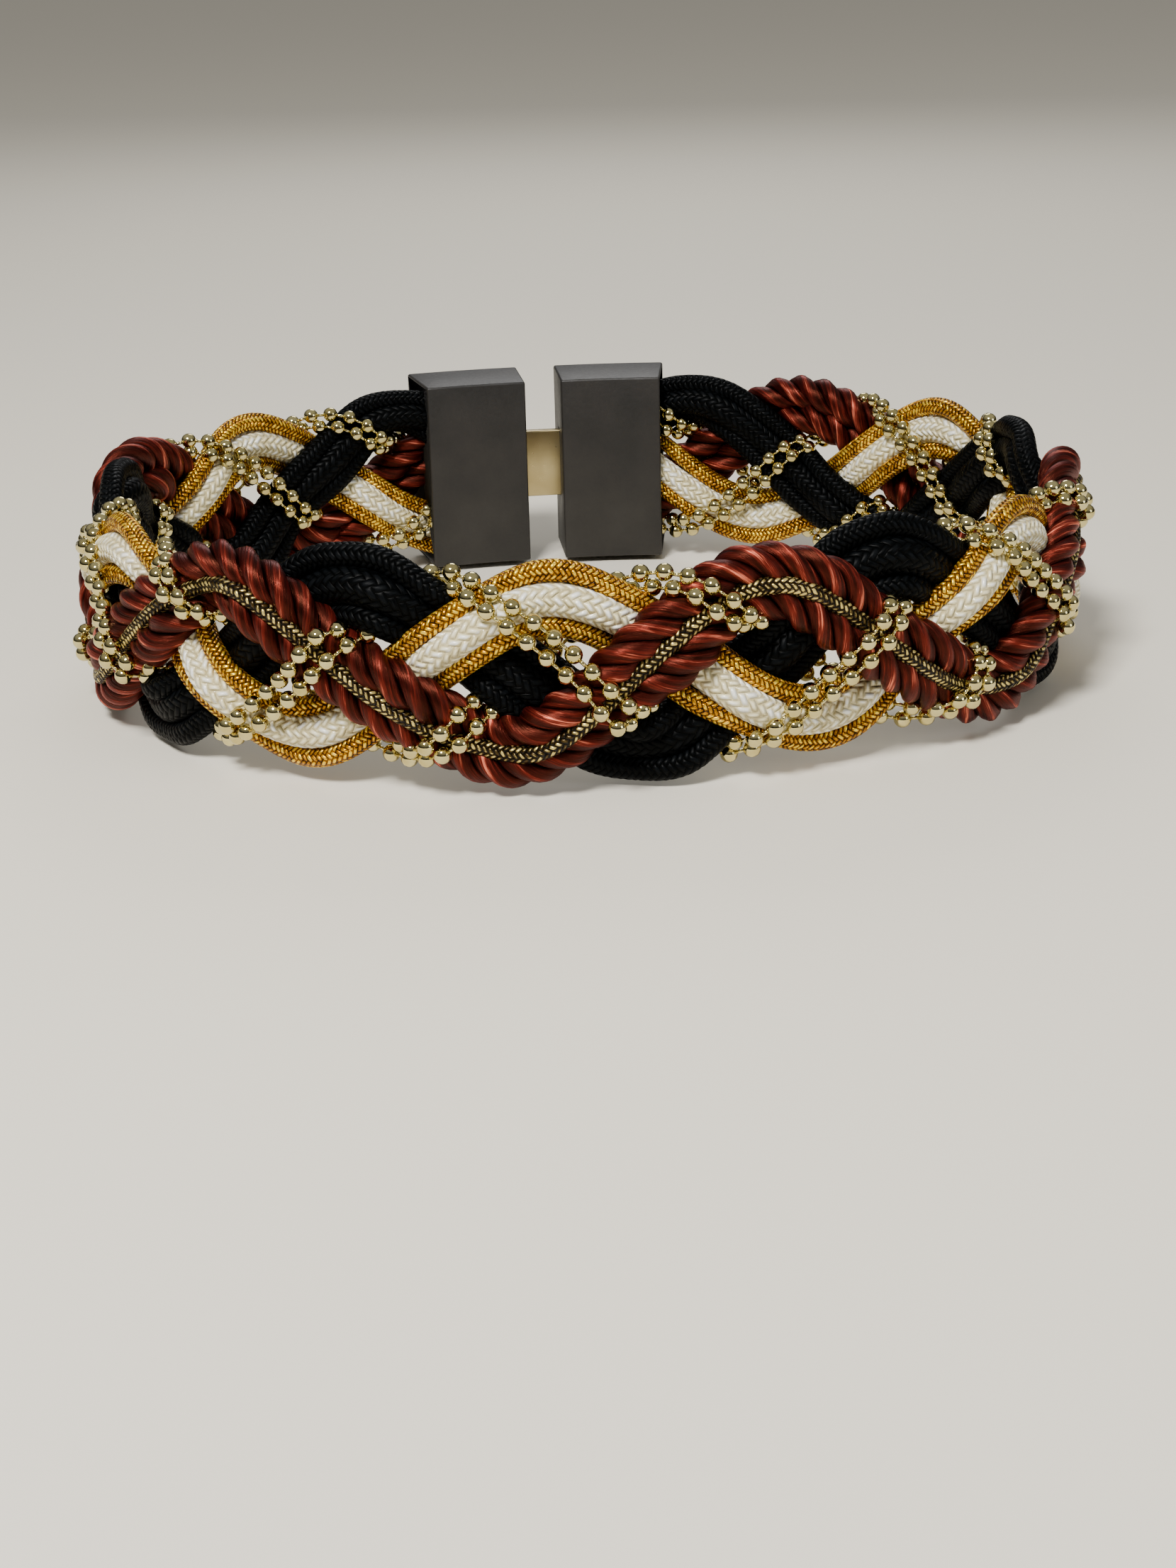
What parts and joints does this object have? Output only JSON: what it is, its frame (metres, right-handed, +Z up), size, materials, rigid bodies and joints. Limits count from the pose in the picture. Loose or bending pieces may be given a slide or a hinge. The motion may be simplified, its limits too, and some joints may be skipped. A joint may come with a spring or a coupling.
{
  "type": "rope belt",
  "caption": "Wide waist belt plaited flat from satin ropes, braided cords and strings of round beads, closed at the back by a hidden clasp.",
  "frame": {"origin": "middle of the waist that the belt closes round, at half the belt's height", "axes": "+Z up, the wearer faces -Y and has the clasp at the back at +Y, +X towards the wearer's left"},
  "size_m": [0.2883, 0.2502, 0.0594],
  "materials": {
    "rust": "satin",
    "olive": "satin with a metallic thread",
    "white": "satin",
    "gold": "satin",
    "black": "satin",
    "beads": "polished pale gold",
    "caps": "plain black",
    "clasp": "satin pale gold"
  },
  "bodies": {
    "root": {"rust_rope_upper": "rust", "olive_cord": "olive", "rust_rope_lower": "rust", "gold_cord_upper": "gold", "white_cord": "white", "gold_cord_lower": "gold", "black_cord_upper": "black", "black_cord_middle": "black", "black_cord_lower": "black", "bead_string_1": "beads", "bead_string_2": "beads", "bead_string_3": "beads", "bead_string_4": "beads", "end_cap_right": "caps", "end_cap_left": "caps", "clasp": "clasp"}
  },
  "joints": []
}
